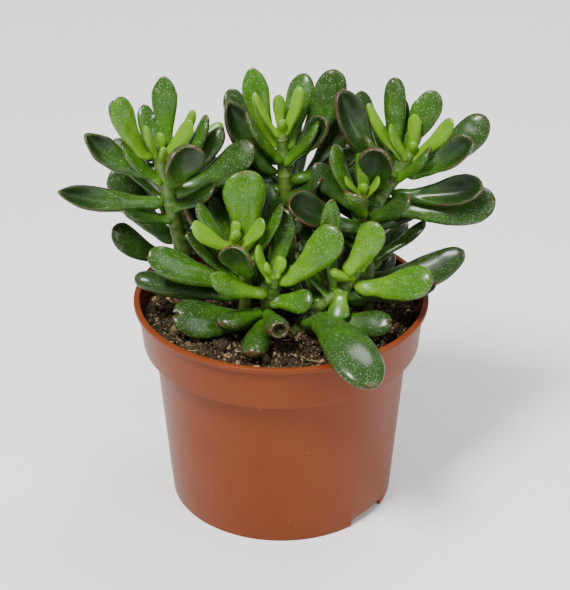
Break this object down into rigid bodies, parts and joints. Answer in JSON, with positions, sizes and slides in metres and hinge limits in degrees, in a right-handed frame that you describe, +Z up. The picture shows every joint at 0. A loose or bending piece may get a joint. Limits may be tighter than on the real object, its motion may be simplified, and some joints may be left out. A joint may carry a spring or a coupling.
{
  "type": "potted jade plant",
  "caption": "Jade plant with plump spoon, tube and cup shaped leaves on short stems, growing in a round tapered nursery pot with a lipped collar and drainage foot.",
  "frame": {"origin": "centre of the pot's underside, on the flat middle of its base", "axes": "+Z straight up through the pot and plant, -Y towards the front, +X to the right seen from the front"},
  "size_m": [0.1721, 0.1316, 0.1794],
  "materials": {
    "terracotta_plastic": "semi-matte terracotta plastic",
    "peat_soil": "loose dark peat with straw crumbs",
    "green_stem": "soft green stem, satin",
    "leaf_left": "glossy succulent leaf skin",
    "leaf_tall": "glossy succulent leaf skin",
    "leaf_right": "glossy succulent leaf skin",
    "leaf_inner": "glossy succulent leaf skin",
    "leaf_front": "glossy succulent leaf skin",
    "leaf_front_left": "glossy succulent leaf skin",
    "leaf_front_right": "glossy succulent leaf skin"
  },
  "bodies": {
    "root": {"leaf_front_01": "leaf_front", "leaf_front_02": "leaf_front", "leaf_front_03": "leaf_front", "leaf_front_04": "leaf_front", "leaf_front_05": "leaf_front", "leaf_front_06": "leaf_front", "leaf_front_07": "leaf_front", "leaf_front_left_01": "leaf_front_left", "leaf_front_left_02": "leaf_front_left", "leaf_front_left_03": "leaf_front_left", "leaf_front_left_04": "leaf_front_left", "leaf_front_left_05": "leaf_front_left", "leaf_front_left_06": "leaf_front_left", "leaf_front_right_01": "leaf_front_right", "leaf_front_right_02": "leaf_front_right", "leaf_front_right_03": "leaf_front_right", "leaf_front_right_04": "leaf_front_right", "leaf_front_right_05": "leaf_front_right", "leaf_front_right_06": "leaf_front_right", "leaf_inner_01": "leaf_inner", "leaf_inner_02": "leaf_inner", "leaf_inner_03": "leaf_inner", "leaf_left_01": "leaf_left", "leaf_left_02": "leaf_left", "leaf_left_03": "leaf_left", "leaf_left_04": "leaf_left", "leaf_left_05": "leaf_left", "leaf_left_06": "leaf_left", "leaf_left_07": "leaf_left", "leaf_left_08": "leaf_left", "leaf_left_09": "leaf_left", "leaf_left_10": "leaf_left", "leaf_left_11": "leaf_left", "leaf_right_01": "leaf_right", "leaf_right_02": "leaf_right", "leaf_right_03": "leaf_right", "leaf_right_04": "leaf_right", "leaf_right_05": "leaf_right", "leaf_right_06": "leaf_right", "leaf_right_07": "leaf_right", "leaf_right_08": "leaf_right", "leaf_right_09": "leaf_right", "leaf_right_10": "leaf_right", "leaf_tall_01": "leaf_tall", "leaf_tall_02": "leaf_tall", "leaf_tall_03": "leaf_tall", "leaf_tall_04": "leaf_tall", "leaf_tall_05": "leaf_tall", "leaf_tall_06": "leaf_tall", "leaf_tall_07": "leaf_tall", "leaf_tall_08": "leaf_tall", "pot": "terracotta_plastic", "soil": "peat_soil", "stem_front": "green_stem", "stem_front_left": "green_stem", "stem_front_right": "green_stem", "stem_inner": "green_stem", "stem_left": "green_stem", "stem_right": "green_stem", "stem_tall": "green_stem"}
  },
  "joints": []
}
